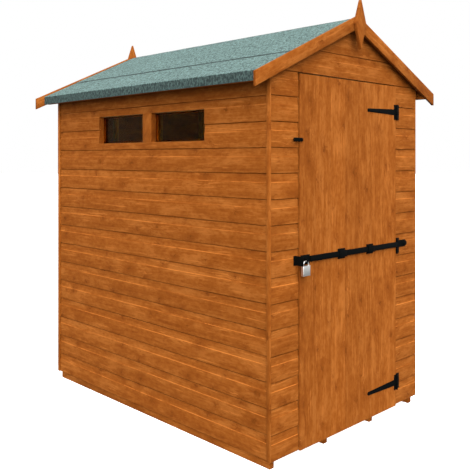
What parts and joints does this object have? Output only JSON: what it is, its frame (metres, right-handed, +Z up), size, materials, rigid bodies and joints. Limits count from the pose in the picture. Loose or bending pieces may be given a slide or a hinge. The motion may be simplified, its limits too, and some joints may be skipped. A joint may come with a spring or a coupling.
{
  "type": "wooden garden shed",
  "caption": "Small apex garden shed in stained shiplap boards, with a felt roof, a high side window strip, a boarded door on T hinges and a padlocked security bar.",
  "frame": {"origin": "on the ground at the middle of the shed's footprint", "axes": "+Z up, +Y from the door end to the back, +X to the right of someone facing the door"},
  "size_m": [1.492, 1.944, 2.184],
  "materials": {
    "stained_boards": "satin orange-brown stain over softwood grain",
    "inner_timber": "bare sawn softwood",
    "roof_felt": "green-grey mineral roofing felt",
    "black_ironwork": "satin black powder coat",
    "window_glass": "clear glazing",
    "padlock_steel": "satin laminated steel"
  },
  "bodies": {
    "shed": {"front_wall_left": "stained_boards", "front_wall_right": "stained_boards", "front_gable": "stained_boards", "back_wall": "stained_boards", "left_wall": "stained_boards", "right_wall": "stained_boards", "corner_trims": "stained_boards", "window_mullion": "stained_boards", "barge_front_left": "stained_boards", "barge_front_right": "stained_boards", "barge_back_left": "stained_boards", "barge_back_right": "stained_boards", "finial_front": "stained_boards", "finial_back": "stained_boards", "bearer_1": "inner_timber", "bearer_2": "inner_timber", "bearer_3": "inner_timber", "bearer_4": "inner_timber", "floor": "inner_timber", "front_frame": "inner_timber", "back_frame": "inner_timber", "left_frame": "inner_timber", "right_frame": "inner_timber", "window_beads": "inner_timber", "eave_battens": "inner_timber", "purlins": "inner_timber", "roof_board_left": "inner_timber", "roof_board_right": "inner_timber", "felt_left": "roof_felt", "felt_right": "roof_felt", "felt_ridge": "roof_felt", "upper_hinge_plate": "black_ironwork", "lower_hinge_plate": "black_ironwork", "bar_hinge_plate": "black_ironwork", "staple_plate": "black_ironwork", "window_glass_front": "window_glass", "window_glass_back": "window_glass"},
    "door": {"door_boards": "stained_boards", "door_ledges": "inner_timber", "upper_hinge_strap": "black_ironwork", "lower_hinge_strap": "black_ironwork", "security_bar": "black_ironwork", "bar_keepers": "black_ironwork"},
    "turn_button": {"turn_button": "black_ironwork"},
    "padlock": {"padlock_body": "padlock_steel", "padlock_shackle": "padlock_steel"}
  },
  "joints": [
    {"name": "door_hinge", "type": "hinge", "parent": "shed", "child": "door", "pos_m": [0.3945, -0.928, 0.92], "axis": [0, 0, 1], "range_deg": [0, 150]},
    {"name": "turn_button_pivot", "type": "hinge", "parent": "door", "child": "turn_button", "pos_m": [-0.411, -0.927, 1.4755], "axis": [0, -1, 0], "continuous": true},
    {"name": "padlock_swing", "type": "hinge", "parent": "door", "child": "padlock", "pos_m": [-0.4085, -0.949, 0.916], "axis": [-1, 0, 0], "range_deg": [-6, 90]}
  ]
}
